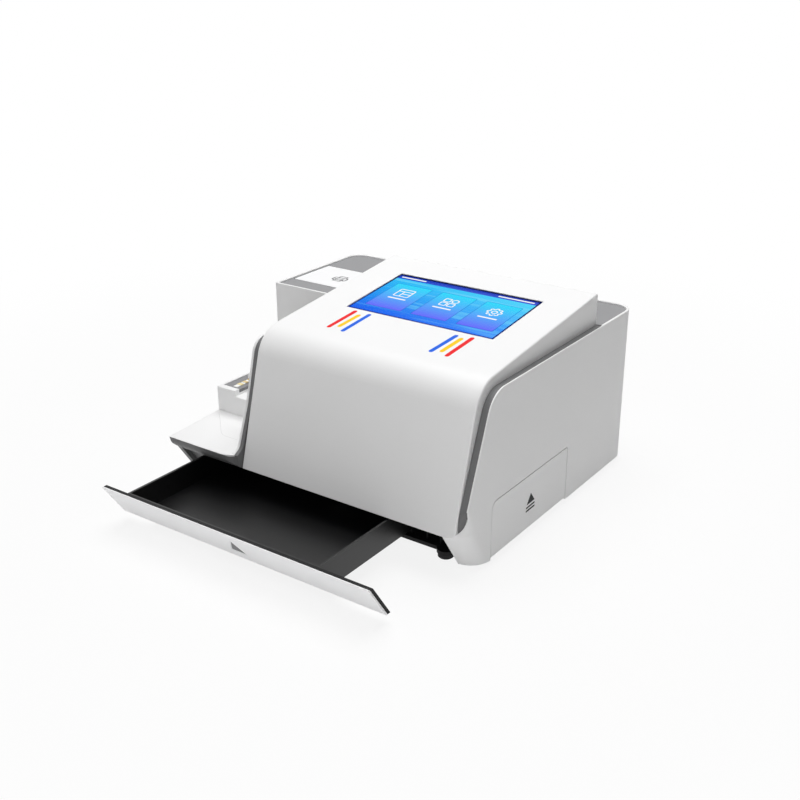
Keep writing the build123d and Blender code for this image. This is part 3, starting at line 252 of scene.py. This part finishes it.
# ------------------------------------------------------------------ metal works
# Rods and hinge pins are ground steel, chassis and brackets folded aluminium sheet, motor cans zinc-plated.
# Grinding and rolling leave fine parallel lines, drawn along the part as stretched noise.
def metal(name, colour, roughness, line, along):
    """Metal with parallel working lines: noise stretched 40 times along one axis, as roughness and bump."""
    material = bpy.data.materials.new(name)
    material.use_nodes = True
    tree = material.node_tree
    surface = tree.nodes["Principled BSDF"]
    surface.inputs["Metallic"].default_value = 1.0
    surface.inputs["Base Color"].default_value = linear(colour)
    place = add(tree, "ShaderNodeTexCoord")
    squeeze = [1.0 / (line * mm)] * 3
    squeeze["XYZ".index(along)] /= 40.0
    stretched = add(tree, "ShaderNodeMapping", {"Scale": squeeze}, {"Vector": place.outputs["Object"]})
    lines = add(tree, "ShaderNodeTexNoise", {"Scale": 1.0, "Detail": 3.0}, {"Vector": stretched.outputs[0]})
    span = add(tree, "ShaderNodeMapRange", {"To Min": roughness * 0.75, "To Max": roughness * 1.3},
               {"Value": lines.outputs["Fac"]})
    tree.links.new(span.outputs[0], surface.inputs["Roughness"])
    bump = add(tree, "ShaderNodeBump", {"Strength": 0.2, "Distance": 0.01 * mm}, {"Height": lines.outputs["Fac"]})
    tree.links.new(bump.outputs[0], surface.inputs["Normal"])
    return material


steel_ground = metal("steel_ground_bar", "#B8B9BB", 0.22, 0.3, "Y")
finish_with(steel_ground, "guide_rod_left", "guide_rod_right", "door_hinge_pin")
steel_pin = metal("steel_drawn_pin", "#B4B5B7", 0.25, 0.3, "X")
finish_with(steel_pin, "lid_hinge_pin", "pusher_rail")
aluminium = metal("aluminium_rolled_sheet", "#C5C6C8", 0.38, 0.5, "Y")
finish_with(aluminium, "chassis_plate", "rod_block_front", "rod_block_back", "print_head", "power_supply")
zinc = metal("steel_zinc_plated", "#A9ABAE", 0.34, 0.8, "Z")
finish_with(zinc, "printer_motor", "scan_motor", "usb_ports", "serial_port")

nylon = moulded("nylon_natural", "#E4E0D2", 0.4, 0.6, 0.01)
finish_with(nylon, "platen_gear", "drive_gear", "drive_pulley", "idler_pulley")


# ------------------------------------------------------------------ circuit boards, battery, paper
# Boards are glass-epoxy with green or blue solder mask; copper tracks show through as paler lines.
def board(name, mask, track):
    """Solder mask over tracks: staggered cells of 3 by 1.5 mm whose borders are the tracks."""
    material = bpy.data.materials.new(name)
    material.use_nodes = True
    tree = material.node_tree
    surface = tree.nodes["Principled BSDF"]
    place = add(tree, "ShaderNodeTexCoord")
    cells = add(tree, "ShaderNodeTexBrick", {"Scale": 1 / (6 * mm), "Mortar Size": 0.06, "Color1": linear(mask),
                                             "Color2": linear(mask), "Mortar": linear(track)},
                {"Vector": place.outputs["Object"]})
    tree.links.new(cells.outputs["Color"], surface.inputs["Base Color"])
    surface.inputs["Roughness"].default_value = 0.32
    bump = add(tree, "ShaderNodeBump", {"Strength": 0.3, "Distance": 0.03 * mm}, {"Height": cells.outputs["Fac"]})
    tree.links.new(bump.outputs[0], surface.inputs["Normal"])
    return material


finish_with(board("glass_epoxy_green_mask", "#0E4A2A", "#2C7A4B"), "main_board")
finish_with(board("glass_epoxy_blue_mask", "#12344E", "#2B5F86"), "display_board")
finish_with(moulded("pvc_shrink_wrap_blue", "#1F3F7A", 0.3, 2.0, 0.02), "battery_pack")
thermal_paper = moulded("thermal_paper", "#F3F2EC", 0.6, 0.25, 0.01, cloud=0.02)
finish_with(thermal_paper, "paper_roll")
polyester_film = moulded("polyester_strip_film", "#F7F7F4", 0.35, 0.8, 0.006)
finish_with(polyester_film, "test_strip")

# The strip's ten reagent pads, each 4.6 mm long and 7 mm after the last, are soaked papers of pale yellow, tan, green
# and pink: a stepped ramp along the strip gives each its colour, and film shows between them.
first_pad, pad_pitch, pad_length, film_colour = 5.0, 7.0, 4.6, "#F7F7F4"
pad_papers = ["#E9D79A", "#D8BE82", "#C7A65E", "#B7CC98", "#E6BFAE",
              "#D6DDA8", "#EFD28C", "#BFD3B4", "#E5AE94", "#D2C193"]
strip_low, strip_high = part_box("test_strip")
strip_length = (strip_high.y - strip_low.y) / mm
tree = polyester_film.node_tree
place = add(tree, "ShaderNodeTexCoord")
parts = add(tree, "ShaderNodeSeparateXYZ", links={"Vector": place.outputs["Object"]})
along = add(tree, "ShaderNodeMapRange", {"From Min": strip_low.y, "From Max": strip_high.y},
            {"Value": parts.outputs["Y"]})
steps = add(tree, "ShaderNodeValToRGB", links={"Fac": along.outputs[0]})
steps.color_ramp.interpolation = "CONSTANT"
steps.color_ramp.elements[0].color = steps.color_ramp.elements[1].color = linear(film_colour)
for k, colour in enumerate(pad_papers):
    pad_start = first_pad + pad_pitch * k
    for at, tone in ((pad_start, colour), (pad_start + pad_length, film_colour)):
        steps.color_ramp.elements.new(at / strip_length).color = linear(tone)
tree.links.new(steps.outputs["Color"], tree.nodes["Principled BSDF"].inputs["Base Color"])


# ------------------------------------------------------------------ touchscreen
# A 7 inch panel, 154 by 86 mm, lies under a flush pane of chemically hardened glass, square to the hood's slope.
# Its picture has a dark header, a blue field that turns from cyan to deep blue, and three tiles with line icons.
slope = math.radians(6.45)
glass_low, glass_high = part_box("screen_glass")
pane_margin, pane_thick = 1.35 * mm, 1.65 * mm
pane_length = (glass_high.y - glass_low.y - pane_thick * math.sin(slope)) / math.cos(slope)
along_x = np.array([1.0, 0.0, 0.0])
along_slope = np.array([0.0, math.cos(slope), math.sin(slope)])
out_of_glass = np.array([0.0, -math.sin(slope), math.cos(slope)])
pane_corner = np.array([glass_low.x, glass_low.y, glass_high.z - pane_length * math.sin(slope)])


def on_screen(u, v, lift):
    """Point at u, v millimetres from the picture's lower left corner, lifted from the glass's top face."""
    u, v = np.asarray(u, float), np.asarray(v, float)
    return (pane_corner + (u * mm + pane_margin)[..., None] * along_x
            + (v * mm + pane_margin)[..., None] * along_slope + lift * mm * out_of_glass)


def disc_sheet(name, outline, place, lift, rings=3):
    """Flat patch inside a closed outline: ring s of it is the outline drawn in by s towards its middle."""
    outline = np.asarray(outline, float)
    middle = outline.mean(0)
    s = np.linspace(0.0, 1.0, rings + 1)[:, None, None]
    flat = middle + s * (outline[None] - middle)
    patch = sheet_mesh(name, place(flat[..., 0], flat[..., 1], lift), (False, True))
    span = np.ptp(outline, 0)
    own = ((flat - outline.min(0)) / np.maximum(span, 1e-9)).reshape(-1, 2)
    loops = np.zeros(len(patch.data.loops), int)
    patch.data.loops.foreach_get("vertex_index", loops)
    patch.data.uv_layers["grid"].data.foreach_set("uv", own[loops].reshape(-1))
    merge = patch.modifiers.new("merge_middle", "WELD")
    merge.merge_threshold = 1e-7
    return patch


def rounded(u0, u1, v0, v1, r, n=8):
    """Rectangle with corner arcs of radius r, run round anticlockwise."""
    t = np.linspace(0, math.pi / 2, n)
    middles = [(u1 - r, v1 - r), (u0 + r, v1 - r), (u0 + r, v0 + r), (u1 - r, v0 + r)]
    arcs = []
    for k, (cu, cv) in enumerate(middles):
        arcs.append(np.stack([cu + r * np.cos(t + k * math.pi / 2), cv + r * np.sin(t + k * math.pi / 2)], -1))
    return np.concatenate(arcs)


def lit(name, low, high, low_right=None, high_right=None, streaks=0.0):
    """Picture colour of the lit panel, given off as light: it fades up the piece's own UV map from low to high, and
    to the right to a second pair.  Streaks are slanting paler bands, a noise squeezed eight times across them."""
    material = bpy.data.materials.new(name)
    material.use_nodes = True
    tree = material.node_tree
    surface = tree.nodes["Principled BSDF"]
    own = add(tree, "ShaderNodeUVMap", {"uv_map": "grid"})
    parts = add(tree, "ShaderNodeSeparateXYZ", links={"Vector": own.outputs[0]})
    sides = []
    for bottom, top in ((low, high), (low_right or low, high_right or high)):
        fade = add(tree, "ShaderNodeMix", {"data_type": "RGBA"}, {"Factor": parts.outputs["Y"]})
        fade.inputs[6].default_value = linear(bottom)
        fade.inputs[7].default_value = linear(top)
        sides.append(fade.outputs[2])
    whole = add(tree, "ShaderNodeMix", {"data_type": "RGBA"}, {"Factor": parts.outputs["X"]})
    tree.links.new(sides[0], whole.inputs[6])
    tree.links.new(sides[1], whole.inputs[7])
    colour = whole.outputs[2]
    if streaks:
        slant = add(tree, "ShaderNodeMapping", {"Rotation": (0, 0, math.radians(38)), "Scale": (1.0, 8.0, 1.0)},
                    {"Vector": own.outputs[0]})
        bands = add(tree, "ShaderNodeTexNoise", {"Scale": 1.1, "Detail": 1.0}, {"Vector": slant.outputs[0]})
        strength = add(tree, "ShaderNodeMapRange", {"From Min": 0.5, "From Max": 0.62, "To Max": streaks},
                       {"Value": bands.outputs["Fac"]})
        paler = add(tree, "ShaderNodeMix", {"data_type": "RGBA"}, {"Factor": strength.outputs[0]})
        tree.links.new(colour, paler.inputs[6])
        paler.inputs[7].default_value = linear("#7FE4FF")
        colour = paler.outputs[2]
    tree.links.new(colour, surface.inputs["Emission Color"])
    surface.inputs["Emission Strength"].default_value = 1.0
    surface.inputs["Base Color"].default_value = (0.0, 0.0, 0.0, 1.0)
    surface.inputs["Specular IOR Level"].default_value = 0.0
    surface.inputs["Roughness"].default_value = 0.6
    return material


def on_panel(piece, material):
    """Gives a piece of the picture or hood its material, and fixes it to the base."""
    piece.data.materials.append(material)
    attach(piece, "base")
    return piece


panel_depth = -0.16          # the picture, bonded to the pane, seems to lie at its face


def patch(name, outline, level, material):
    """Flat patch of the picture; each level lies a hundredth of a millimetre or more above the last."""
    on_panel(disc_sheet(name, outline, on_screen, panel_depth + level), material)


patch("picture_border", rounded(-1.0, 155.0, -1.0, 87.0, 0.4), 0.0, lit("lcd_border_navy", "#122A8C", "#0B1650"))
patch("picture_field", rounded(0.6, 153.4, 0.8, 77.2, 0.2), 0.01,
      lit("lcd_field_blue", "#1F60F2", "#2CC2FC", "#3C80FF", "#55DCFF", streaks=0.4))
patch("picture_header", rounded(0.6, 153.4, 77.2, 84.4, 0.2), 0.02,
      lit("lcd_header_blue", "#2C55D8", "#1B38B4", "#4A66DE", "#2A3EB8"))

tile_glow = lit("lcd_tile", "#6C6EFF", "#34DEFF")
tile_edge = lit("lcd_tile_edge", "#3A62E0", "#2398E6")
picture_white = lit("lcd_white", "#FFFFFF", "#FFFFFF")
tiles = [(10.0, 49.0), (61.0, 98.0), (109.5, 146.0)]
tile_v0, tile_v1, tile_rim, caption_half = 12.6, 66.0, 0.7, 10.0
for k, (u0, u1) in enumerate(tiles):
    border = rounded(u0 - tile_rim, u1 + tile_rim, tile_v0 - tile_rim, tile_v1 + tile_rim, 1.6)
    patch(f"picture_tile_edge_{k}", border, 0.03, tile_edge)
    patch(f"picture_tile_{k}", rounded(u0, u1, tile_v0, tile_v1, 1.0), 0.04, tile_glow)
    middle = (u0 + u1) / 2 - 0.2
    caption = rounded(middle - caption_half, middle + caption_half, 33.9, 36.1, 1.0)
    patch(f"picture_caption_{k}", caption, 0.06, picture_white)
for name, u0, u1 in (("title", 3.6, 32.0), ("clock", 112.0, 150.0)):
    patch(f"picture_header_{name}", rounded(u0, u1, 79.9, 82.0, 1.0), 0.06, picture_white)


def ribbon(name, points, width, place, lift, closed=False):
    """Flat line of even width: each point moved half the width to both sides, square to the path there."""
    p = np.asarray(points, float)
    if closed:
        step = np.roll(p, -1, 0) - np.roll(p, 1, 0)
    else:
        step = np.gradient(p, axis=0)
    step /= np.linalg.norm(step, axis=1, keepdims=True)
    side = np.stack([-step[:, 1], step[:, 0]], -1) * width / 2
    grid = np.stack([p + side, p - side], 0)
    return sheet_mesh(name, place(grid[..., 0], grid[..., 1], lift), (False, closed))


def ring(cu, cv, r, n=36):
    """Circle of points."""
    t = np.arange(n) / n * 2 * math.pi
    return np.stack([cu + r * np.cos(t), cv + r * np.sin(t)], -1)


# Icons of plain lines, 1.25 mm wide on the picture: a list sheet, four fields with a ring, and a gear wheel.
icon_v, stroke, icon_lift = 48.2, 1.25, panel_depth + 0.06
sheet_u, fields_u, gear_u = 29.3, 79.4, 127.4


def icon_line(name, points, closed=False):
    """One stroke of an icon."""
    on_panel(ribbon(name, points, stroke, on_screen, icon_lift, closed), picture_white)


icon_line("icon_sheet_frame_0", rounded(sheet_u - 8, sheet_u + 8, icon_v - 7.6, icon_v + 7.6, 1.2), True)
sheet_lines = [[(sheet_u - 7.6, icon_v + 3), (sheet_u, icon_v + 3), (sheet_u + 7.6, icon_v + 3)],
               [(sheet_u - 1.5, icon_v + 2.6), (sheet_u - 1.5, icon_v - 2), (sheet_u - 1.5, icon_v - 7.2)],
               [(sheet_u - 1.1, icon_v - 2), (sheet_u + 3, icon_v - 2), (sheet_u + 7.6, icon_v - 2)]]
for k, points in enumerate(sheet_lines):
    icon_line(f"icon_sheet_line_{k}", points)
field_step, field_half = 4.2, 3.2
for k, (du, dv) in enumerate([(-field_step, field_step), (-field_step, -field_step), (field_step, -field_step)]):
    cu, cv = fields_u + du, icon_v + dv
    field = rounded(cu - field_half, cu + field_half, cv - field_half, cv + field_half, 1.0)
    icon_line(f"icon_field_{k}", field, True)
icon_line("icon_field_ring", ring(fields_u + field_step, icon_v + field_step, field_half), True)
t = np.arange(96) / 96 * 2 * math.pi
teeth = 6.6 + 0.9 * np.tanh(3.0 * np.cos(8 * t))
icon_line("icon_gear_rim", np.stack([gear_u + teeth * np.cos(t), icon_v + teeth * np.sin(t)], -1), True)
icon_line("icon_gear_hub", ring(gear_u, icon_v, 2.6), True)

# Hardened glass: clear, with only a slight veil.
glass = bpy.data.materials.new("glass_hardened_clear")
glass.use_nodes = True
surface = glass.node_tree.nodes["Principled BSDF"]
surface.inputs["Base Color"].default_value = linear("#0A0E14")
surface.inputs["Roughness"].default_value = 0.05
surface.inputs["Alpha"].default_value = 0.04
surface.inputs["IOR"].default_value = 1.5
finish_with(glass, "screen_glass")
finish_with(moulded("panel_frame_black", "#0E0F12", 0.4, 0.8, 0.01), "lcd_module")


# ------------------------------------------------------------------ printed bars on the hood
# Two groups of three bars, red, yellow and blue, are pad-printed on the hood below the screen.
# The ink is half matt and stands a few hundredths of a millimetre proud, with rounded ends.
def ink(name, colour):
    """Pad-printing ink in one colour."""
    return moulded(name, colour, 0.5, 0.9, 0.004, shine=0.12)


def bar(x0, v0, x1, v1, width, n=10):
    """Outline of a bar with half-round ends between two points."""
    a, b = np.array([x0, v0], float), np.array([x1, v1], float)
    angle = math.atan2(*(b - a)[::-1])
    t = np.linspace(-math.pi / 2, math.pi / 2, n)
    end = np.stack([np.cos(t + angle), np.sin(t + angle)], -1) * width / 2
    return np.concatenate([b + end, a - end])


ink_red = ink("pad_ink_red", "#E60F18")
ink_yellow = ink("pad_ink_yellow", "#FACB0E")
ink_blue = ink("pad_ink_blue", "#0D62E2")
bar_width, hood_above_glass, ink_lift = 4.3, 0.25, 0.04
bars = [("left_red", ink_red, 11.8, -44.1, 12.9, -7.3), ("left_yellow", ink_yellow, 19.7, -39.0, 21.2, -13.0),
        ("left_blue", ink_blue, 28.4, -45.3, 29.2, -7.9), ("right_blue", ink_blue, 121.0, -44.2, 123.8, -9.9),
        ("right_yellow", ink_yellow, 129.3, -40.0, 130.9, -13.0), ("right_red", ink_red, 137.7, -45.2, 138.8, -7.9)]
for name, material, u0, v0, u1, v1 in bars:
    printed = disc_sheet("bar_" + name, bar(u0, v0, u1, v1, bar_width), on_screen, hood_above_glass + ink_lift)
    on_panel(printed, material)


# ------------------------------------------------------------------ marks on lid, flap and drawer
# The lid carries a small printer sign, the flap an arrow over bars, and the drawer a sunk dark triangle.
ink_grey, ink_dark = ink("pad_ink_grey", "#4A4A4C"), ink("pad_ink_dark_grey", "#1A1A1C")
lid_low, lid_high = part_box("printer_lid")
lid_middle = ((lid_low.x + lid_high.x) / 2, lid_low.y + 26.3 * mm)


def on_lid(u, v, lift):
    """Point on the lid's top face, in millimetres from the sign's middle."""
    u, v = np.asarray(u, float), np.asarray(v, float)
    return np.stack([lid_middle[0] + u * mm, lid_middle[1] + v * mm, np.full(u.shape, lid_high.z + lift * mm)], -1)


def on_lid_piece(piece, material):
    """Gives a printed line its ink, and fixes it to the lid."""
    piece.data.materials.append(material)
    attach(piece, "lid")


sign = [("body", rounded(-8, 8, -4.6, 3.0, 1.6), True),
        ("paper_top", [(-4.6, 3.4), (-4.6, 7.4), (4.6, 7.4), (4.6, 3.4)], False),
        ("paper_out", [(-4.6, -1.2), (-4.6, -8.0), (4.6, -8.0), (4.6, -1.2)], False),
        ("paper_slot", [(-5.6, -1.0), (0, -1.0), (5.6, -1.0)], False)]
for name, shape, closed in sign:
    on_lid_piece(ribbon("lid_sign_" + name, shape, 1.4, on_lid, 0.04, closed), ink_grey)

flap_low, flap_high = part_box("side_door")


def on_flap(y, z, lift):
    """Point on the flap's outer face; y and z in millimetres from its lower front corner."""
    y, z = np.asarray(y, float), np.asarray(z, float)
    return np.stack([np.full(y.shape, flap_high.x + lift * mm), flap_low.y + y * mm, flap_low.z + z * mm], -1)


arrow = [("triangle", [(58.6, 23.6), (72.6, 24.0), (65.6, 33.4)]),
         ("bar_upper", [(57.8, 20.0), (72.9, 20.4), (72.9, 22.2), (57.8, 21.8)]),
         ("bar_lower", [(57.6, 16.9), (73.1, 17.1), (73.1, 18.9), (57.6, 18.7)])]
for name, outline in arrow:
    printed = disc_sheet("flap_arrow_" + name, outline, on_flap, 0.05)
    printed.data.materials.append(ink_dark)
    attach(printed, "flap")

# The drawer's mark is a sunk triangle, 17.6 mm wide and 18.4 mm high; a dark grey plate is glued into it.
lean = math.radians(33.7)
face_up = np.array([0.0, -math.sin(lean), math.cos(lean)])
face_out = np.array([0.0, -math.cos(lean), -math.sin(lean)])
front = cad["drawer_front"].data
corners = np.zeros(len(front.vertices) * 3)
front.vertices.foreach_get("co", corners)
face_distance = (corners.reshape(-1, 3) @ face_out).max()
foot_height, mark_from_left, mark_half, mark_floor = 4.8, 147.8, 8.2, -0.45
face_low = (foot_height * mm - face_distance * face_out[2]) / face_up[2]
mark_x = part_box("drawer_front")[0].x / mm + mark_from_left


def on_drawer(x, w, lift):
    """Point on the drawer's leaning face: x in millimetres, w up the face from the shell's foot, and the lift out."""
    x, w = np.asarray(x, float), np.asarray(w, float)
    return (x[..., None] * mm * along_x + (face_low + w[..., None] * mm) * face_up
            + (face_distance + lift * mm) * face_out)


triangle = [(mark_x - mark_half, 16.8), (mark_x + mark_half, 16.8), (mark_x, 34.0)]
plate = disc_sheet("drawer_mark_plate", triangle, on_drawer, mark_floor)
plate.data.materials.append(moulded("abs_grey_mark_plate", "#434345", 0.4, 0.8, 0.008))
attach(plate, "drawer")


# ------------------------------------------------------------------ painted shade line on the platform
# A fine grey line is painted across the platform's white cover, along a faint line where the cover's shading changes.
platform_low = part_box("platform_cover")[0]
platform_rise = 0.0545       # mm per mm, from front to back
platform_front_z = (51.3 + foot_height) * mm


def on_platform(x, y, lift):
    """Point on the platform: x and y in millimetres from its front left corner; it rises evenly to the back."""
    x, y = np.asarray(x, float), np.asarray(y, float)
    height = platform_front_z + (platform_rise * y + lift) * mm
    return np.stack([platform_low.x + x * mm, platform_low.y + y * mm, height], -1)


shade_line_path = [(4.5, 62.5), (20.5, 47.7), (34.0, 34.4), (38.5, 30.6),
        (42.0, 28.9), (46.0, 28.4), (52.6, 28.4), (59.5, 28.9)]
# The grey ribbon is painted shade along that faint line.
line = ribbon("platform_painted_shade_line", shade_line_path, 0.45, on_platform, 0.02)
line.data.materials.append(moulded("abs_white_painted_shade_line", "#D9D9D9", 0.5, 0.8, 0.004))
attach(line, "base")


# ------------------------------------------------------------------ screws
# Pan-head screws of zinc-plated steel hold the bottom plate and the back.
# Each head is 5.6 mm wide, with a cross recess.
def screw_head(name, middle, outward, turn, radius=2.8, height=1.5):
    """Pan head: its height over a circle is h * (1 - (r/R)^4) to the power 1/2, less a cross recess 0.9 mm deep,
    full within 0.35 mm of two crossed lines and gone at 0.5 mm, which ends at 62 percent of the radius."""
    r = np.linspace(0.0, 1.0, 15)[:, None]
    t = (np.arange(48) / 48 * 2 * math.pi)[None, :]
    u, v = radius * r * np.cos(t), radius * r * np.sin(t)
    rise = height * np.sqrt(np.clip(1 - r ** 4, 0, 1)) * np.ones_like(t)
    first_line = np.abs(u * math.cos(turn) + v * math.sin(turn))
    near = np.minimum(first_line, np.abs(v * math.cos(turn) - u * math.sin(turn)))
    rise = rise - 0.9 * np.clip((0.5 - near) / 0.15, 0, 1) * np.clip((0.62 - r) / 0.06, 0, 1)
    n = np.array(outward, float)
    a = np.cross(n, [0.0, 0.0, 1.0] if abs(n[2]) < 0.9 else [0.0, 1.0, 0.0])
    a /= np.linalg.norm(a)
    b = np.cross(n, a)
    points = np.array(middle) + mm * (u[..., None] * a + v[..., None] * b + rise[..., None] * n)
    head = sheet_mesh(name, points, (False, True))
    merge = head.modifiers.new("merge_middle", "WELD")
    merge.merge_threshold = 1e-7
    head.data.materials.append(zinc)
    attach(head, "base")


plate_bottom, shell_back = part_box("base_plate")[0].z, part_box("base_shell")[1].y
for k, (x, y) in enumerate([(-118, -42), (118, -42), (-118, 182), (128, 182), (-118, 70), (118, 70)]):
    screw_head(f"bottom_screw_{k}", (x * mm, y * mm, plate_bottom), (0, 0, -1), 0.3 + 0.7 * k)
for k, (x, z) in enumerate([(-132, 140), (132, 140), (-132, 18), (150, 18)]):
    screw_head(f"back_screw_{k}", (x * mm, shell_back, z * mm), (0, 1, 0), 0.5 + 0.9 * k)
